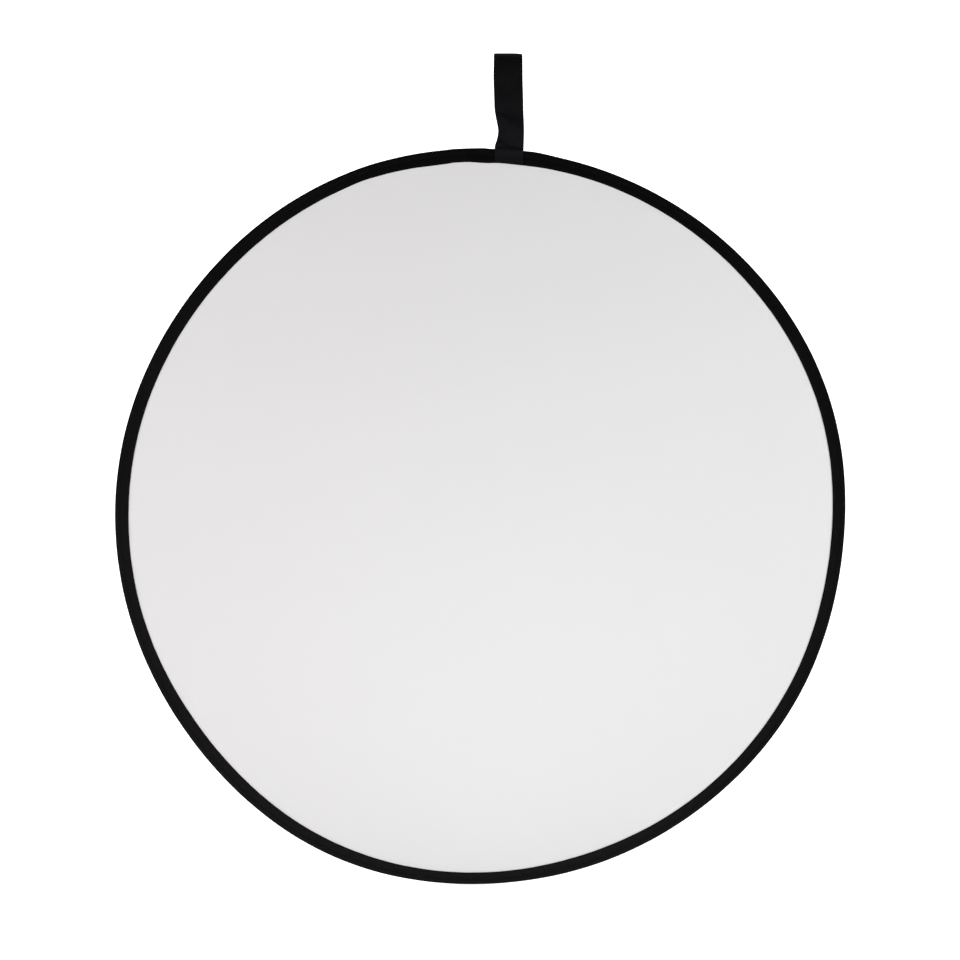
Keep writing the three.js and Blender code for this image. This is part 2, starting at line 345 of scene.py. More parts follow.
def mat_webbing():
    m, nt, b = new_mat("black_webbing")
    at = nt.nodes.new("ShaderNodeAttribute")
    at.attribute_name = "wuv"
    s = split(nt, at.outputs["Vector"])  # (across, along) in metres
    col_i = n_math(nt, "FLOOR", n_math(nt, "DIVIDE", s[0], 0.00125))
    rib = n_math(nt, "ABSOLUTE", n_math(nt, "SINE", n_math(nt, "MULTIPLY", s[0], math.pi / 0.00125)))
    phase = n_math(nt, "MULTIPLY", n_math(nt, "MODULO", col_i, 2.0), math.pi)
    weft = n_math(nt, "SINE", n_math(nt, "ADD", n_math(nt, "MULTIPLY", s[1], 2 * math.pi / 0.0017), phase))
    height = n_math(nt, "ADD", n_math(nt, "MULTIPLY", rib, 0.7), n_math(nt, "MULTIPLY", n_math(nt, "MULTIPLY", weft, rib), 0.4))
    n_bump(nt, b, height, 0.5, 0.00022)
    fuzz = n_noise(nt, at.outputs["Vector"], 900.0, 3.0)
    # painted shade: the webbing's colour is darker towards the top of the loop, where less light falls, with low noise
    # breaking up the gradient
    low = n_noise(nt, at.outputs["Vector"], 60.0, 3.0)
    up = n_range(nt, split(nt, obj_coords(nt))[2], 0.82, 0.895, 1.0, 0.0)
    up = n_math(nt, "ADD", up, n_range(nt, low, 0.3, 0.7, -0.2, 0.2))
    base = n_mixcol(nt, n_range(nt, up, 0.0, 1.0, 0.0, 1.0), (0.0016, 0.0015, 0.0017), (0.0046, 0.0045, 0.0059))
    # painted shade: the grooves between the ribs get a darker colour
    shade = n_range(nt, rib, 0.0, 0.6, 0.0, 1.0)
    nt.links.new(n_mixcol(nt, shade, (0.0018, 0.0018, 0.0021), base), b.inputs["Base Color"])
    nt.links.new(n_range(nt, fuzz, 0.3, 0.7, 0.68, 0.88), b.inputs["Roughness"])
    b.inputs["Specular IOR Level"].default_value = 0.08
    return m


def mat_steel(name, col, rough, scale):
    m, nt, b = new_mat(name)
    s, rho, y = polar(nt)
    g = n_noise(nt, join(nt, n_math(nt, "MULTIPLY", s, 0.05), rho, y), scale, 3.0)
    b.inputs["Base Color"].default_value = (*col, 1)
    b.inputs["Metallic"].default_value = 1.0
    nt.links.new(n_range(nt, g, 0.3, 0.7, rough - 0.08, rough + 0.1), b.inputs["Roughness"])
    return m


TAPE, THREAD, WHITE, SILVER, WEB = mat_tape(), mat_thread(), mat_white(), mat_silver(), mat_webbing()
STEEL = mat_steel("spring_steel", (0.42, 0.43, 0.45), 0.34, 1500.0)
FERRULE = mat_steel("plated_sleeve", (0.62, 0.63, 0.65), 0.26, 900.0)


# ------------------------------------------------------------------ binding tape with its stitches
OUTER = [(0.12, 0.9), (0.45, 1.75), (1.0, 2.5), (1.7, 3.0), (2.6, 3.3), (3.5, 3.2), (4.3, 2.8), (5.0, 2.3),
         (5.5, 1.92), (6.0, 1.62), (6.35, 1.54), (6.7, 1.53), (7.3, 1.56), (8.4, 1.62), (9.6, 1.62), (10.6, 1.57)]
EDGE = [(-2.7, 1.54), (-2.2, 1.5), (-1.9, 1.48), (-1.6, 1.48), (-1.1, 1.5), (-0.5, 1.48), (-0.14, 1.3), (0.0, 1.05)]
INNER_E = [(-0.1, 0.8), (-0.6, 0.66)]
INNER = [(8.0, 0.62), (5.7, 0.66), (4.7, 1.25), (3.8, 2.3), (3.4, 2.6), (1.5, 2.6), (1.25, 2.2)]


def tape_half(phi, side):
    """One half of the section at each phi, from beside the nose to the hidden pocket: (u, y), u inwards from the nose, y positive."""
    w = tape_width(phi)[:, None]
    b = bulge(phi)[:, None]
    ones = np.ones_like(w)
    u = np.concatenate([ones * p[0] for p in OUTER] + [w + p[0] for p in EDGE] + [w + p[0] for p in INNER_E] + [ones * p[0] for p in INNER], 1)
    y = np.concatenate([ones * p[1] for p in OUTER + EDGE + INNER_E + INNER], 1)
    n_out = len(OUTER) + len(EDGE)
    uo = u[:, :n_out]
    yo = y[:, :n_out]
    seed = 0.4 if side < 0 else 3.1
    slow = ripple(phi, (7, 13, 19, 31), seed)[:, None]
    mid = ripple(phi, (47, 71, 97, 139), seed + 1)[:, None]
    fine = np.cos(PITCH_N * phi)[:, None]
    yo = yo + 0.95 * b * smooth(uo / 1.2) * (1 - smooth((uo - 4.3) / 2.2))
    yo = yo + (0.06 * slow + 0.05 * mid) * smooth((uo - 0.3) / 1.5)
    # the flap lifts and settles a little between the two rows
    yo = yo + 0.10 * mid * gauss((uo - 9.6) / 2.0) + 0.03 * (1 - fine) * gauss((uo - 8.6) / 1.6)
    row = gauss((uo - 6.35) / 0.6) + 0.85 * gauss((uo - (w - 1.9)) / 0.5)
    yo = yo - (0.13 + 0.05 * fine) * row
    # overlapped end of the tape, a little left of the strap
    lap = smooth((np.degrees(phi) + 2.3) / 0.12) * smooth((0.55 - np.degrees(phi)) / 0.12)
    yo = yo + 0.32 * lap[:, None] * smooth((uo - 0.1) / 0.8)
    y[:, :n_out] = yo
    k = n_out + len(INNER_E)
    y[:, k + 3:k + 7] += 0.95 * b
    u[:, k + 2:k + 3] += 0.3 * b
    u[:, k + 3:k + 5] += 0.7 * b
    # the inner edge wanders very slightly
    edge = (0.10 * mid + 0.10 * slow + 0.05 * fine)
    e0 = len(OUTER)
    fall = np.linspace(0.15, 1, len(EDGE))[None]
    u[:, e0:e0 + len(EDGE)] += edge * fall
    u[:, e0 + len(EDGE):e0 + len(EDGE) + 2] += edge
    return u, y


def tape_grid(phi):
    R = R_OUT + rim_h(phi) + 0.5 * bulge(phi) + 0.07 * ripple(phi, (23, 41, 67), 5.0)
    R = R[:, None]
    uf, yf = tape_half(phi, -1)
    ur, yr = tape_half(phi, 1)
    nose_u = np.zeros((len(phi), 1))
    u = np.concatenate([nose_u, uf, ur[:, ::-1]], 1)
    y = np.concatenate([nose_u, -yf, yr[:, ::-1]], 1)
    rho = R - u
    ph = np.broadcast_to(phi[:, None], rho.shape)
    return np.stack([rho * np.sin(ph), y, CZ + rho * np.cos(ph)], -1)


def surface_y(phi, row, side):
    """Depth of the tape's face along a stitch row, and the row's radius."""
    w = tape_width(phi)
    u = np.full_like(phi, 6.35) if row == 0 else w - 1.9
    uu, yy = tape_half(phi, side)
    y = yy[:, 10] if row == 0 else yy[:, len(OUTER) + 2]
    R = R_OUT + rim_h(phi) + 0.5 * bulge(phi) + 0.07 * ripple(phi, (23, 41, 67), 5.0)
    return R - u, y


def stitch_rows(k0, k1):
    """All stitches numbered k0 to k1 (a stitch is one pitch long), in both rows on both faces."""
    ks = np.arange(k0, k1)
    t = np.array([0.10, 0.2, 0.5, 0.8, 0.90])
    phi = (ks[:, None] + t[None]) * (2 * math.pi / PITCH_N)
    dip = np.array([-0.22, 0.02, 0.10, 0.02, -0.22])
    rad = np.array([0.13, 0.23, 0.25, 0.23, 0.13])
    allv, allq, allc, n = [], [], [], 0
    for side in (-1, 1):
        for row in (0, 1):
            rho, y = surface_y(phi.ravel(), row, side)
            p = place(rho, phi.ravel(), side * (y + np.tile(dip, len(ks)))).reshape(len(ks), 5, 3)
            v, q, c = tube(p, rad, 6)
            allv.append(v); allq.append(q + n); allc.append(c + n)
            n += len(v)
    return np.concatenate(allv), np.concatenate(allq), np.concatenate(allc)


PER = STITCHES * 4


def binding_piece(name, a, b, k0, k1, gap_a=0.0, gap_b=0.0):
    """Binding from angle a to b, holding stitches k0 to k1."""
    n = max(8, int(round(PER * (b - a) / STEP))) + 1
    phi = np.linspace(a + gap_a, b - gap_b, n)
    d = phi[1] - phi[0]
    ext = np.concatenate([[phi[0] - d], phi, [phi[-1] + d]])
    G = tape_grid(ext)
    nor = grid_normals(G, True)
    P = G[1:-1]
    rings, pts = P.shape[:2]
    verts = P.reshape(-1, 3)
    quads = loft_faces(rings, pts)
    nor = nor.reshape(-1, 3)
    # make the faces and normals point out: the nose point must face away from the middle
    v = verts[quads[0]]
    fn = np.cross(v[1] - v[0], v[2] - v[0])
    out = verts[0] - np.array([0, 0, CZ])
    if fn @ out < 0:
        quads = quads[:, ::-1]
    if nor[0] @ out < 0:
        nor = -nor
    cap0 = np.arange(pts)
    base = len(verts)
    capv = np.concatenate([P[0], P[-1]])
    tang0 = P[0, 0] - P[1, 0]
    capn = np.concatenate([np.tile(tang0, (pts, 1)), np.tile(P[-1, 0] - P[-2, 0], (pts, 1))])
    flip = quads[0][0] == loft_faces(rings, pts)[0][0] and np.array_equal(quads[0], loft_faces(rings, pts)[0])
    c0 = base + (cap0[::-1] if flip else cap0)
    c1 = base + pts + (cap0 if flip else cap0[::-1])
    sv, sq, sc = stitch_rows(k0, k1)
    sbase = base + 2 * pts
    V = np.concatenate([verts, capv, sv])
    # thread normals: away from each thread's centre line
    m, sides = 5, 6
    sv_r = sv.reshape(-1, m, sides, 3)
    sn = (sv_r - sv_r.mean(2, keepdims=True)).reshape(-1, 3)
    NN = np.concatenate([nor, capn, sn])
    polys = [quads, c0[None], c1[None], sq + sbase, sc + sbase]
    # a tube's own winding: check it on the first quad
    q = sv[sq[0]]
    if np.cross(q[1] - q[0], q[2] - q[0]) @ (q.mean(0) - sv[: m * sides].mean(0)) < 0:
        polys[3] = polys[3][:, ::-1]
        polys[4] = polys[4][:, ::-1]
    mi = np.concatenate([np.zeros(len(quads) + 2), np.ones(len(sq) + len(sc))])
    return make(name, V, polys, [TAPE, THREAD], mi, NN)


def band_piece(name, a, b, ga=0.0, gb=0.0):
    n = max(6, int(60 * (b - a) / STEP)) + 1
    phi = np.linspace(a + ga, b - gb, n)
    R = R_OUT + rim_h(phi)
    e = 0.18
    sec = [(2.0 + e, -2.5), (2.8 - e, -2.5), (2.8, -2.5 + e), (2.8, 2.5 - e), (2.8 - e, 2.5), (2.0 + e, 2.5), (2.0, 2.5 - e), (2.0, -2.5 + e)]
    u = np.array([s[0] for s in sec])[None]
    y = np.array([s[1] for s in sec])[None] * np.ones((n, 1))
    rho = R[:, None] - u
    ph = np.broadcast_to(phi[:, None], rho.shape)
    V = np.stack([rho * np.sin(ph), y, CZ + rho * np.cos(ph)], -1).reshape(-1, 3)
    q = loft_faces(n, 8)
    ring = np.arange(8)
    v = V[q[2]]  # the face at the largest u looks towards the middle
    fn = np.cross(v[1] - v[0], v[2] - v[0])
    inward = np.array([0, 0, CZ]) - V[0]
    if fn @ inward < 0:
        q = q[:, ::-1]
        c = np.stack([ring, ring[::-1] + (n - 1) * 8])
    else:
        c = np.stack([ring[::-1], ring + (n - 1) * 8])
    o = make(name, V, [q, c], [STEEL])
    o.data.polygons.foreach_set("use_smooth", np.zeros(len(o.data.polygons), bool))
    return o


for side, sg in (("R", 1), ("L", -1)):
    for k in range(1, 12):
        a, b = (k - 1) * STEP, k * STEP
        s0, s1 = (a, b) if sg > 0 else (-b, -a)
        k0, k1 = ((k - 1) * STITCHES, k * STITCHES) if sg > 0 else (-k * STITCHES, -(k - 1) * STITCHES)
        nodes = ["binding_%s%02d" % (side, k)]
        o = binding_piece("binding_%s%02d_bend" % (side, k), s0, s1, k0, k1)
        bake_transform(o)
        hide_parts(*(["binding_root"] + nodes if k == 1 else nodes))
        # hoop
        ga = 0.0
        if k == 1 and sg > 0:
            s0 = math.radians(-2.03)
        if k == 1 and sg < 0:
            s1 = math.radians(-2.07)
        o = band_piece("hoop_%s%02d_bend" % (side, k), s0, s1)
        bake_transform(o)
        extra = ["hoop_root_right"] if (k == 1 and sg > 0) else ["hoop_root_left"] if k == 1 else []
        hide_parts("hoop_%s%02d" % (side, k), *extra)
    # the last half arc, up to the opened joint at the bottom
    a, b = 11 * STEP, math.pi
    half = STITCHES // 2
    g = 0.002 / 400
    if sg > 0:
        o = binding_piece("binding_R11_end", a, b, 11 * STITCHES, 11 * STITCHES + half, 0, g)
        h = band_piece("hoop_R11_end", a, b, 0, 0.3 / 400)
    else:
        o = binding_piece("binding_L11_end", -b, -a, -11 * STITCHES - half, -11 * STITCHES, g, 0)
        h = band_piece("hoop_L11_end", -b, -a, 0.3 / 400, 0)
    for x, sl in ((o, "binding_tape"), (h, "spring_steel")):
        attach(x, "rim_%s11" % side)


# ------------------------------------------------------------------ ferrule: crimped sleeve over the ends of the band
def ferrule():
    d0, d1 = math.radians(-4.15), math.radians(0.05)
    n = 61
    phi = np.linspace(d0, d1, n)
    deg = np.degrees(phi)
    crimp = 0.14 * (gauss((deg + 3.3) / 0.22) + gauss((deg + 2.75) / 0.22) + gauss((deg + 1.35) / 0.22) + gauss((deg + 0.8) / 0.22))
    R = R_OUT + rim_h(phi)
    out, inn = [], []
    for (u, y, cu, cy) in [(1.3, -3.05, 0, 0.3), (1.7, -3.45, 0, 0.3), (3.1, -3.45, 0, 0.3), (3.5, -3.05, 0, .3), (3.5, -1.2, -1, 0), (3.5, 1.2, -1, 0),
                           (3.5, 3.05, 0, -.3), (3.1, 3.45, 0, -0.3), (1.7, 3.45, 0, -0.3), (1.3, 3.05, 0, -.3), (1.3, 1.2, 1, 0), (1.3, -1.2, 1, 0)]:
        out.append(np.stack([R - (u + cu * crimp * 1.2), y + cy * crimp], -1))
    for (u, y) in [(1.8, -2.6), (2.0, -2.7), (2.8, -2.7), (3.0, -2.6), (3.0, -1.2), (3.0, 1.2), (3.0, 2.6), (2.8, 2.7), (2.0, 2.7), (1.8, 2.6), (1.8, 1.2), (1.8, -1.2)]:
        inn.append(np.stack([R - u, np.full(n, y)], -1))
    out, inn = np.stack(out, 1), np.stack(inn, 1)
    V = []
    for S in (out, inn):
        rho, y = S[..., 0], S[..., 1]
        ph = phi[:, None]
        V.append(np.stack([rho * np.sin(ph), y, CZ + rho * np.cos(ph)], -1).reshape(-1, 3))
    q0 = loft_faces(n, 12)
    q1 = loft_faces(n, 12, base=n * 12)[:, ::-1]
    i = np.arange(12)
    j = (i + 1) % 12
    e0 = np.stack([j, i, i + n * 12, j + n * 12], -1)
    L = (n - 1) * 12
    e1 = np.stack([i + L, j + L, j + L + n * 12, i + L + n * 12], -1)
    V = np.concatenate(V)
    polys = [q0, q1, e0, e1]
    v = V[q0[0]]
    if np.cross(v[1] - v[0], v[2] - v[0]) @ (v.mean(0) - V[: 12].mean(0)) < 0:
        polys = [p[:, ::-1] for p in polys]
    o = make("hoop_ferrule_sleeve", V, polys, [FERRULE])
    o.data.polygons.foreach_set("use_smooth", np.zeros(len(o.data.polygons), bool))
    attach(o, "disc")
    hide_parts("hoop_ferrule")


ferrule()


# ------------------------------------------------------------------ fabric gores
def fab_shift(rho, phi, side):
    """Depth of the fabric's face beyond its flat plane: small pulls at the binding, and a very slight sag."""
    d = np.maximum(0, 386.5 - rho)
    g = smooth(d / 8.0)
    seed = 1.0 if side < 0 else 4.2
    near = np.exp(-d / 13.0) * ripple(phi, (61, 83, 103), seed)
    far = np.exp(-d / 48.0) * ripple(phi, (17, 29, 43), seed + 2)
    broad = 0.35 * np.sin(2 * phi + seed) * (rho / FAB_R) ** 2 * (1 - (rho / FAB_R) ** 2) * 4
    k = 1.0 if side < 0 else 1.6
    return g * k * (0.16 * near + 0.22 * far) + broad


# the metallised cloth is very slightly crinkled: a sum of waves in every direction, the same on every gore. It lies
# flat along the binding, which slides over it when the hoop coils
RNG = np.random.default_rng(7)
CR_L = RNG.uniform(11.0, 46.0, 26)
CR_A = RNG.uniform(0, 2 * math.pi, 26)
CR_P = RNG.uniform(0, 2 * math.pi, 26)


def crinkle(x, z):
    out = np.zeros_like(x)
    for lam, ang, ph in zip(CR_L, CR_A, CR_P):
        k = 2 * math.pi / lam
        out = out + lam * np.sin(k * (x * math.cos(ang) + z * math.sin(ang)) + ph + 1.3 * np.sin(0.31 * k * (z * math.cos(ang) - x * math.sin(ang)) + 2 * ph))
    return out / 26


NA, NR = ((34, 46))


def gore(name, phi_c, side, mat):
    nr = NR if side < 0 else int(NR * 2.6)
    t = np.linspace(0, 1, nr + 1)[1:]
    rho = FAB_R * (1 - (1 - t) ** (1.7 if side < 0 else 1.15))
    phi = np.linspace(phi_c - H, phi_c + H, NA + 1)
    Rg, Pg = np.meshgrid(rho, phi, indexing="ij")

    def surf(r, p):
        rr = r + rim_h(p) * (r / FAB_R) ** 2
        d = 0.45 + fab_shift(r, p, side)
        if side > 0:
            d = d + (0.7 + 0.062 * crinkle(rr * np.sin(p), rr * np.cos(p))) * smooth((366 - r) / 34)
        y = side * (0.2 + 0.06 * np.logaddexp(0, (d - 0.2) / 0.06))  # never through the other cloth
        return np.stack([rr * np.sin(p), y, CZ + rr * np.cos(p)], -1)

    P = surf(Rg, Pg)
    e = 1e-3
    dr = surf(Rg + 0.05, Pg) - surf(Rg - 0.05, Pg)
    dp = surf(Rg, Pg + e) - surf(Rg, Pg - e)
    nor = np.cross(dr, dp)
    nor /= np.linalg.norm(nor, axis=-1, keepdims=True)
    nor *= np.sign(nor[..., 1:2] * side)
    inner = P.copy()
    inner[..., 1] = side * 0.15
    apex_o = surf(np.array(0.0), np.array(phi_c))
    apex_i = apex_o.copy()
    apex_i[1] = side * 0.15
    na = NA + 1
    V, NN, polys = [], [], []
    grid = loft_faces(nr, na, closed=False)
    # outer face
    V += [P.reshape(-1, 3), apex_o[None]]
    NN += [nor.reshape(-1, 3), np.array([[0, side, 0.0]])]
    top = nr * na
    j = np.arange(NA)
    fan = np.stack([np.full(NA, top), j, j + 1], -1)
    v = P.reshape(-1, 3)[grid[0]]
    rev = np.cross(v[1] - v[0], v[2] - v[0])[1] * side < 0
    polys.append(grid[:, ::-1] if rev else grid)
    vv = np.concatenate([P.reshape(-1, 3), apex_o[None]])[fan[0]]
    frev = np.cross(vv[1] - vv[0], vv[2] - vv[0])[1] * side < 0
    polys.append(fan[:, ::-1] if frev else fan)
    # inner face
    b = top + 1
    V += [inner.reshape(-1, 3), apex_i[None]]
    NN += [np.tile([[0, -side, 0.0]], (b, 1))]
    polys.append((grid if rev else grid[:, ::-1]) + b)
    polys.append((fan if frev else fan[:, ::-1]) + b)
    # edges, with their own vertices
    path_o = np.concatenate([apex_o[None], P[:, 0], P[-1, 1:-1], P[::-1, -1]])
    path_i = np.concatenate([apex_i[None], inner[:, 0], inner[-1, 1:-1], inner[::-1, -1]])
    m = len(path_o)
    cen = np.concatenate([path_o, path_i]).mean(0)
    base = 2 * b
    V += [path_o, path_i]
    tang = np.roll(path_o, -1, 0) - np.roll(path_o, 1, 0)
    en = np.cross(tang, np.array([0, 1.0, 0]))
    mid = path_o - cen
    if (en * mid).sum() < 0:
        en = -en
    NN += [en, en]
    i = np.arange(m)
    q = np.stack([base + i, base + (i + 1) % m, base + m + (i + 1) % m, base + m + i], -1)
    VV = np.concatenate(V)
    w = VV[q[m // 2]]
    if np.cross(w[1] - w[0], w[2] - w[0]) @ (w.mean(0) - cen) < 0:
        q = q[:, ::-1]
    polys.append(q)
    return make(name, VV, polys, [mat], None, np.concatenate(NN))


for idn in ["top"] + IDS:
    bname = "disc" if idn == "top" else "rim_" + idn
    k = 0 if idn == "top" else (1 if idn[0] == "R" else -1) * int(idn[1:])
    pc = k * STEP
    for face, side, mat, sl, node in (("front", -1, WHITE, "white_fabric", "fabric_front_white"), ("rear", 1, SILVER, "silver_fabric", "fabric_rear_silver")):
        o = gore("fabric_%s_%s" % (face, idn), pc, side, mat)
        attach(o, bname)
        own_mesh(o)
        if idn == "top":
            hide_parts(node)


# ------------------------------------------------------------------ strap
def rim_top(x):
    """Height of the rim's outer edge above x."""
    phi = np.arcsin(np.clip(x / 400.0, -1, 1))
    R = R_OUT + rim_h(phi)
    return CZ + np.sqrt(R * R - x * x)


FRONT = [(786.2, -2.34), (788, -2.36), (790.5, -2.38), (792.4, -2.42), (793.8, -2.62), (795.2, -3.2), (796.6, -4.0), (798.0, -4.6), (799.2, -4.85),
         (800.6, -4.35), (802.0, -3.4), (803.6, -2.6), (805.4, -2.45), (807.5, -3.2), (810, -4.4), (814, -5.9), (819, -7.5), (824, -8.6), (827.5, -8.8), (831, -8.2), (835, -6.9),
         (839, -6.1), (844, -6.3), (850, -7.0), (856, -7.2), (862, -6.9), (868, -6.8), (875, -7.3), (882, -7.9), (888, -8.0), (893.5, -7.6),
         (898.5, -6.4), (901.8, -4.2), (903.3, -2.0), (903.6, 0.0)]
REAR = [(903.3, 2.0), (901.8, 4.2), (898.5, 6.2), (893.5, 7.3), (882, 7.8), (868, 7.8), (852, 7.2), (838, 6.5), (826, 5.9), (816, 5.4), (808, 4.9),
        (803, 4.5), (800.2, 4.3), (798.2, 4.2), (796.6, 3.95), (795.2, 3.2), (793.8, 2.62), (792.4, 2.42), (790.5, 2.38), (788, 2.36), (786.2, 2.34)]


def spline(pts, step):
    """Even points along a smooth curve through pts (n,2)."""
    P = np.array(pts, float)
    ext = np.concatenate([[2 * P[0] - P[1]], P, [2 * P[-1] - P[-2]]])
    out = []
    for i in range(1, len(ext) - 2):
        p0, p1, p2, p3 = ext[i - 1:i + 3]
        t = np.linspace(0, 1, 24, endpoint=False)[:, None]
        out.append(0.5 * ((2 * p1) + (-p0 + p2) * t + (2 * p0 - 5 * p1 + 4 * p2 - p3) * t ** 2 + (-p0 + 3 * p1 - 3 * p2 + p3) * t ** 3))
    out = np.concatenate(out + [P[-1:]])
    s = np.concatenate([[0], np.cumsum(np.linalg.norm(np.diff(out, axis=0), axis=1))])
    n = int(s[-1] / step)
    ss = np.linspace(0, s[-1], n + 1)
    return np.stack([np.interp(ss, s, out[:, k]) for k in (0, 1)], -1), ss


LEFT = [(786, 15.2), (797, 15.2), (801, 15.3), (805, 16.05), (809, 17.35), (813.5, 18.35), (818, 19.05), (822, 19.3), (826, 18.85), (831, 17.75), (835.5, 16.85),
        (840, 16.15), (844, 15.5), (848.5, 15.15), (853, 15.02), (862, 14.75), (870, 14.5), (879, 14.15), (888, 14.3), (896, 14.5), (906, 14.6)]
RIGHT = [(786, 45.9), (797, 46.1), (803, 46.55), (810, 46.75), (820, 46.95), (830, 46.75), (838, 46.35), (850, 46.1), (862, 45.75), (875, 45.4), (888, 45.28), (906, 45.1)]


def edge_at(table, z):
    """A smooth curve through the table, read at z."""
    t = np.array(table)
    zz = np.linspace(t[0, 0], t[-1, 0], 480)
    xx = np.interp(zz, t[:, 0], t[:, 1])
    k = np.hanning(19)
    xx = np.convolve(np.pad(xx, 9, mode="edge"), k / k.sum(), mode="valid")
    return np.interp(z, zz, xx)


def strap():
    step = 0.8
    path, s = spline(FRONT + REAR, step)
    n = len(path)
    across = 29
    v = np.sin(np.linspace(-math.pi / 2, math.pi / 2, across)) * 0.55 + np.linspace(-1, 1, across) * 0.45
    z = path[:, 0][:, None] * np.ones((1, across))
    y0 = path[:, 1][:, None] * np.ones((1, across))
    front = (path[:, 1] < 0)[:, None]
    vv = v[None] * np.ones((n, 1))
    # outline of the ply
    left = edge_at(LEFT, z)
    right = edge_at(RIGHT, z)
    x = left + (right - left) * (vv + 1) / 2
    # creases just above the rim run down to the right
    zz = path[:, 0]
    fy = np.interp
    order = np.argsort(zz[: np.argmax(zz) + 1])
    zf, yf = zz[: np.argmax(zz) + 1][order], path[: np.argmax(zz) + 1, 1][order]
    win = smooth((z - 801) / 7) * smooth((846 - z) / 14)
    shifted = fy((z + 0.5 * (x - 33) * win).ravel(), zf, yf).reshape(z.shape)
    y = np.where(front & (z < 890), shifted, y0)
    # the left edge curls back at the pinch, the whole ply is very slightly cupped and wavy
    curl = np.exp(-((z - 824) / 14) ** 2) * smooth((-vv - 0.25) / 0.75)
    y = y + np.where(front, 1, -1) * 3.4 * curl * smooth((z - 803) / 8)
    wave = smooth((z - 806) / 12) * (0.35 * np.sin(z / 9.5 + 1.3 * vv) + 0.25 * np.sin(z / 5.1 - 2.0 * vv + 1.0))
    y = y + wave * smooth((898 - z) / 10)
    cup = 0.5 * smooth((z - 835) / 20) * (vv ** 2 - 0.4) * smooth((900 - z) / 8)
    y = y + np.where(front, 1, -1) * cup
    # the feet follow the slope of the rim
    fade = 1 - smooth((z - 799) / 20)
    z = z + fade * (rim_top(x) - rim_top(np.array(STRAP_X)))
    # the fold at the top sits a little lower at the right
    z = z - 0.5 * smooth((x - 34) / 12) * smooth((z - 870) / 30) + 1.45 * smooth((z - 850) / 54)
    S = np.stack([x, y, z], -1)
    ds = np.gradient(S, axis=0)
    dv = np.gradient(S, axis=1)
    nn = np.cross(ds, dv)
    nn /= np.linalg.norm(nn, axis=-1, keepdims=True)
    # outwards: the front ply's outside looks towards -Y
    if nn[n // 6, across // 2, 1] > 0:
        nn = -nn
    th = 0.6 * (1 - np.abs(vv) ** 10 * 0.55)
    tex = 1.0
    outer = S + nn * th[..., None] * tex
    inner = S - nn * th[..., None]
    # selvedge: one extra row of points at each side, half way through the thickness
    eL = S[:, :1] - dv[:, :1] / np.linalg.norm(dv[:, :1], axis=-1, keepdims=True) * 0.32
    eR = S[:, -1:] + dv[:, -1:] / np.linalg.norm(dv[:, -1:], axis=-1, keepdims=True) * 0.32
    ring = np.concatenate([eL, outer, eR, inner[:, ::-1]], 1)
    pts = ring.shape[1]
    V = ring.reshape(-1, 3)
    q = loft_faces(n, pts)
    mid = across // 2 + 1
    f = q[(n // 6) * pts + mid]
    w = V[f]
    if np.cross(w[1] - w[0], w[2] - w[0])[1] > 0:
        q = q[:, ::-1]
        caps = [np.arange(pts), np.arange(pts)[::-1] + (n - 1) * pts]
    else:
        caps = [np.arange(pts)[::-1], np.arange(pts) + (n - 1) * pts]
    o = make("strap_webbing_loop", V, [q, caps[0][None], caps[1][None]], [WEB])
    at = o.data.attributes.new("wuv", "FLOAT_VECTOR", "POINT")
    xs = np.concatenate([vv[:, :1] * 15.3, vv * 15, vv[:, -1:] * 15.3, vv[:, ::-1] * 15], 1) + 40
    uv = np.stack([xs, np.broadcast_to(s[:, None], xs.shape), np.zeros_like(xs)], -1) / 1000
    at.data.foreach_set("vector", uv.astype(np.float32).ravel())
    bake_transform(o)
    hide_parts("strap_loop", "strap_leg_front", "strap_leg_rear")

    # tacks: a dense zigzag of thread across each foot
    for side, nm in ((-1, "front"), (1, "rear")):
        zig = 38
        t = np.arange(zig + 1)
        tx = STRAP_X + 0.1 - 12.6 + 25.2 * t / zig
        tz = 788.9 + np.where(t % 2 == 0, -1.15, 1.15)
        dens = 4
        ti = np.linspace(0, zig, zig * dens + 1)
        px = np.interp(ti, t, tx)
        pz = np.interp(ti, t, tz) + rim_top(px) - rim_top(np.array(STRAP_X))
        py = side * (2.37 + 0.6 + 0.06 + 0.06 * np.cos(ti * 2 * math.pi))
        path = np.stack([px, py, pz], -1)[None]
        tv, tq, tc = tube(path, 0.22, 6)
        # a row of single stitches along the seam of the binding, through the foot
        ks = np.arange(9)
        sp = []
        for k in ks:
            c = STRAP_X - 12.8 + k * 3.16 + np.array([0.1, 0.2, 0.5, 0.8, 0.9]) * 3.16
            zz2 = 793.3 + rim_top(c) - rim_top(np.array(STRAP_X))
            yy = side * (3.2 + np.array([-0.16, 0.02, 0.08, 0.02, -0.16]))
            sp.append(np.stack([c, yy, zz2], -1))
        rv, rq, rc = tube(np.array(sp), np.array([0.13, 0.22, 0.24, 0.22, 0.13]), 6)
        VV = np.concatenate([tv, rv])
        qq = tq
        w = tv[tq[0]]
        polys = [tq, tc, rq + len(tv), rc + len(tv)]
        c0 = tv[:6].mean(0)
        if np.cross(w[1] - w[0], w[2] - w[0]) @ (w.mean(0) - tv[:12].mean(0)) < 0:
            polys = [p[:, ::-1] for p in polys]
        o = make("strap_tack_%s_zigzag" % nm, VV, polys, [THREAD])
        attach(o, "disc")
        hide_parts("strap_tack_" + nm)


strap()

# ------------------------------------------------------------------ stage, light and camera
scn = bpy.context.scene
scn.view_settings.view_transform = "Standard"
scn.view_settings.look = "None"

FLOOR_Z = -0.0022


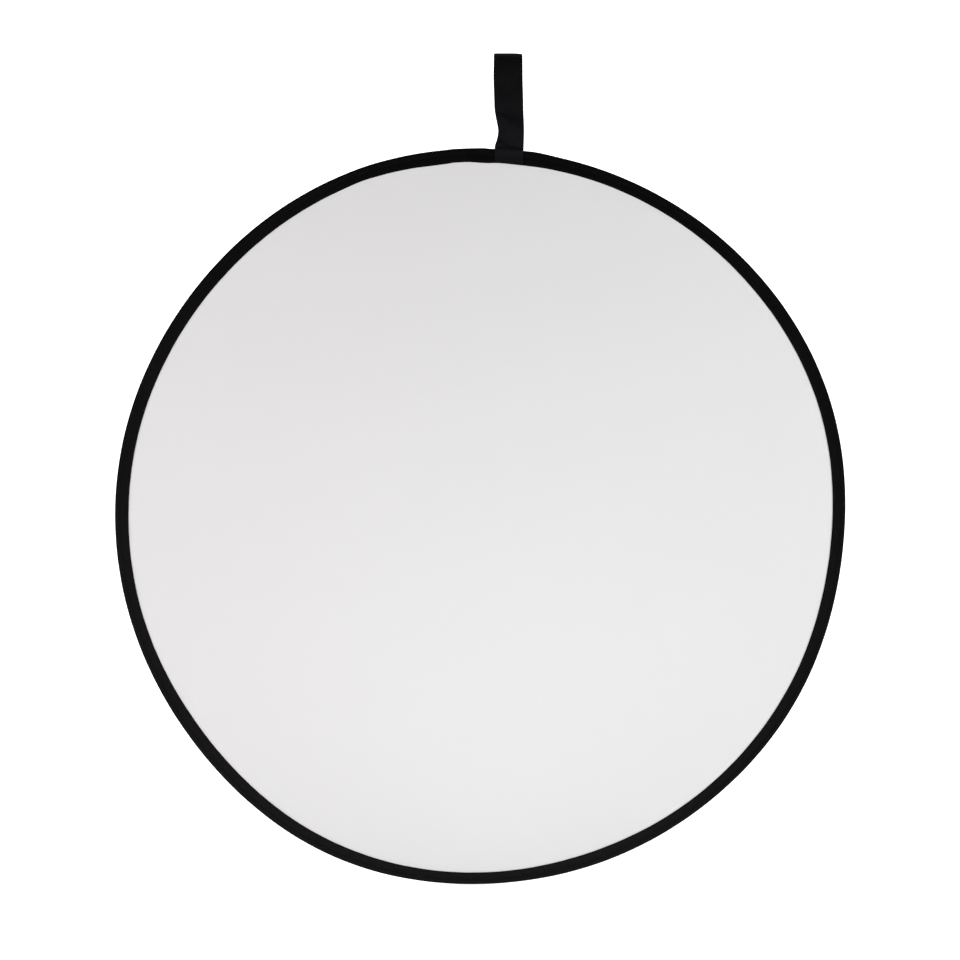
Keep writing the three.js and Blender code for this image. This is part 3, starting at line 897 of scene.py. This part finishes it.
def cyc():
    """Floor that curves up into a plain backdrop."""
    ys = list(np.linspace(-9, 4.0, 14))
    prof = [(y, FLOOR_Z) for y in ys] + [(4.0 + 2.2 * math.sin(a), FLOOR_Z + 2.2 * (1 - math.cos(a))) for a in np.linspace(0, math.pi / 2, 14)[1:]] + [(6.2, z) for z in (3.5, 5.0, 7.5)]
    xs = np.linspace(-9, 9, 7)
    V = np.array([[x, y, z] for (y, z) in prof for x in xs]) * 1000
    q = loft_faces(len(prof), len(xs), closed=False)
    w = V[q[0]]
    if np.cross(w[1] - w[0], w[2] - w[0])[2] < 0:
        q = q[:, ::-1]
    m, nt, b = new_mat("studio_paper")
    b.inputs["Base Color"].default_value = (0.9, 0.9, 0.9, 1)
    b.inputs["Roughness"].default_value = 0.9
    b.inputs["Specular IOR Level"].default_value = 0.1
    b.inputs["Emission Color"].default_value = (1, 1, 1, 1)
    seen = nt.nodes.new("ShaderNodeLightPath").outputs["Is Camera Ray"]
    far = nt.nodes.new("ShaderNodeVectorMath")
    far.operation = "LENGTH"
    nt.links.new(nt.nodes.new("ShaderNodeNewGeometry").outputs["Position"], far.inputs[0])
    glow = n_range(nt, far.outputs["Value"], 0.6, 2.5, 0.5, 0.85)
    nt.links.new(n_math(nt, "MULTIPLY_ADD", seen, glow, 0.3), b.inputs["Emission Strength"])
    o = make("studio_paper", V, [q], [m])


cyc()

world = bpy.data.worlds.new("studio")
world.use_nodes = True
bg = world.node_tree.nodes["Background"]
bg.inputs[0].default_value = (1, 1, 1, 1)
seen = n_math(world.node_tree, "MULTIPLY", world.node_tree.nodes.new("ShaderNodeLightPath").outputs["Is Camera Ray"], 0.9)
world.node_tree.links.new(n_math(world.node_tree, "ADD", seen, 0.15), bg.inputs[1])
scn.world = world


def area(name, loc, target, size, power, colour=(1, 1, 1), size_y=None):
    d = bpy.data.lights.new(name, "AREA")
    d.energy = power
    d.color = colour
    d.shape = "RECTANGLE"
    d.size = size
    d.size_y = size_y or size
    o = bpy.data.objects.new(name, d)
    scn.collection.objects.link(o)
    o.location = loc
    o.rotation_mode = "QUATERNION"
    o.rotation_quaternion = (Vector(target) - Vector(loc)).to_track_quat("-Z", "Y")
    o.visible_camera = False
    return o


PINK, BLUE, NEUTRAL = (1.0, 0.958, 0.965), (0.978, 0.992, 1.0), (0.975, 1.0, 1.0)
area("left", (-1.4, -1.0, 0.6), (-0.1, 0, 0.4), 0.5, 6.1, PINK)
area("low_left", (-1.6, -1.6, 0.35), (0, 0, 0.2), 0.5, 4.6, PINK)
area("right", (1.4, -1.0, 0.8), (0.1, 0, 0.5), 0.5, 9.5, BLUE)
area("low_right", (1.6, -1.6, 0.35), (0, 0, 0.2), 0.5, 1.8, BLUE)
area("low_front", (0.1, -1.5, 0.25), (0.02, 0, 0.1), 0.4, 1.4, NEUTRAL)
area("low_near", (0.05, -0.9, 0.12), (0.02, 0, 0.1), 0.25, 0.94, NEUTRAL)
area("low_close", (0.0, -0.55, 0.06), (0.02, 0, 0.1), 0.2, 0.32, NEUTRAL)
area("backdrop", (0, 1.4, 3.8), (0, 3.5, 0.5), 3.0, 90)

cam_d = bpy.data.cameras.new("photo_view")
cam_d.lens = 100
cam_d.sensor_width = 36
cam_d.clip_end = 100
cam = bpy.data.objects.new("photo_view", cam_d)
scn.collection.objects.link(cam)
cam.location = (-0.00085, -2.9130, 0.43955)
cam.rotation_euler = (math.radians(90), 0, 0)
scn.camera = cam
